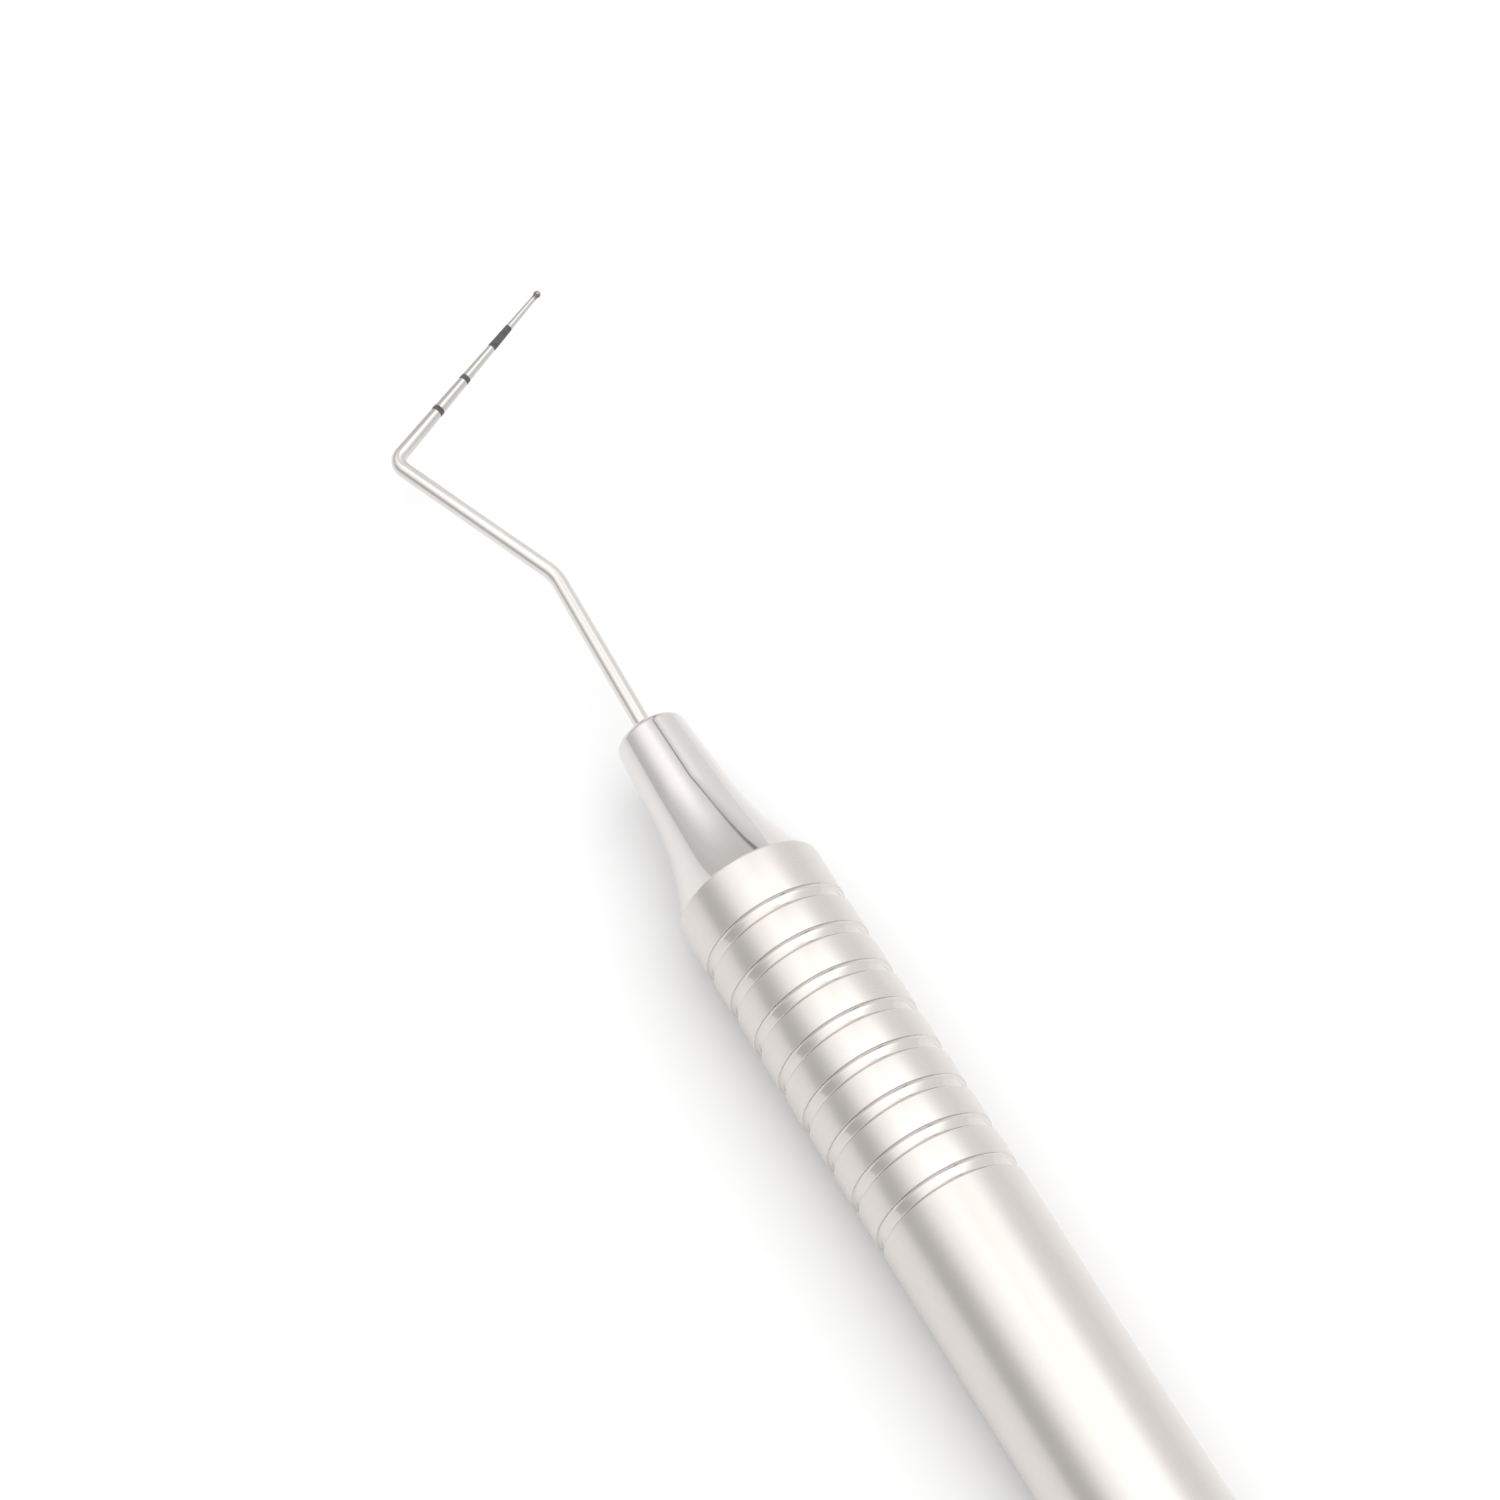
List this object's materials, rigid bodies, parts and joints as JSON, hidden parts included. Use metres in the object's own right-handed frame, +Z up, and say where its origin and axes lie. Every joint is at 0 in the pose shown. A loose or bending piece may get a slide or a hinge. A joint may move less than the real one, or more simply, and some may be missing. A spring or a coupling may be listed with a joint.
{
  "type": "periodontal probe",
  "caption": "Ball-ended periodontal probe with a grooved hollow handle, a screw-in polished nose and a bent shank with black depth marks.",
  "frame": {"origin": "centre of the underside of the bounding box, with the handle lying on its side", "axes": "+X along the handle towards its butt (the tip points to -X), +Z up; both shank bends lie in the horizontal plane through the handle's axis"},
  "size_m": [0.166, 0.0146, 0.0095],
  "materials": {
    "satin_steel": "satin stainless steel, fine lathe grain around the handle",
    "polished_steel": "mirror-polished stainless steel",
    "drawn_steel": "polished drawn stainless steel wire",
    "turned_steel": "as-turned stainless steel",
    "braze_alloy": "bright silver brazing alloy",
    "black_enamel": "baked black enamel, satin"
  },
  "bodies": {
    "handle": {"handle_tube": "satin_steel", "front_bush": "turned_steel", "rear_plug": "satin_steel"},
    "screw_advance": {"braze_fillet": "braze_alloy"},
    "working_end": {"nose_cone": "polished_steel", "probe_shank": "drawn_steel", "mark_band_3p5_5p5": "black_enamel", "mark_ring_8p5": "black_enamel", "mark_ring_11p5": "black_enamel"}
  },
  "joints": [
    {"name": "nose_advance", "type": "slide", "parent": "handle", "child": "screw_advance", "axis": [-1, 0, 0], "range_m": [0, 0.0044]},
    {"name": "nose_unscrew", "type": "hinge", "parent": "screw_advance", "child": "working_end", "pos_m": [-0.03702, -0.00244, 0.00475], "axis": [-1, 0, 0], "range_deg": [0, 1981]}
  ],
  "couplings": [
    {"joint": "nose_unscrew", "follows": "nose_advance", "rad_per_m": 7854}
  ]
}
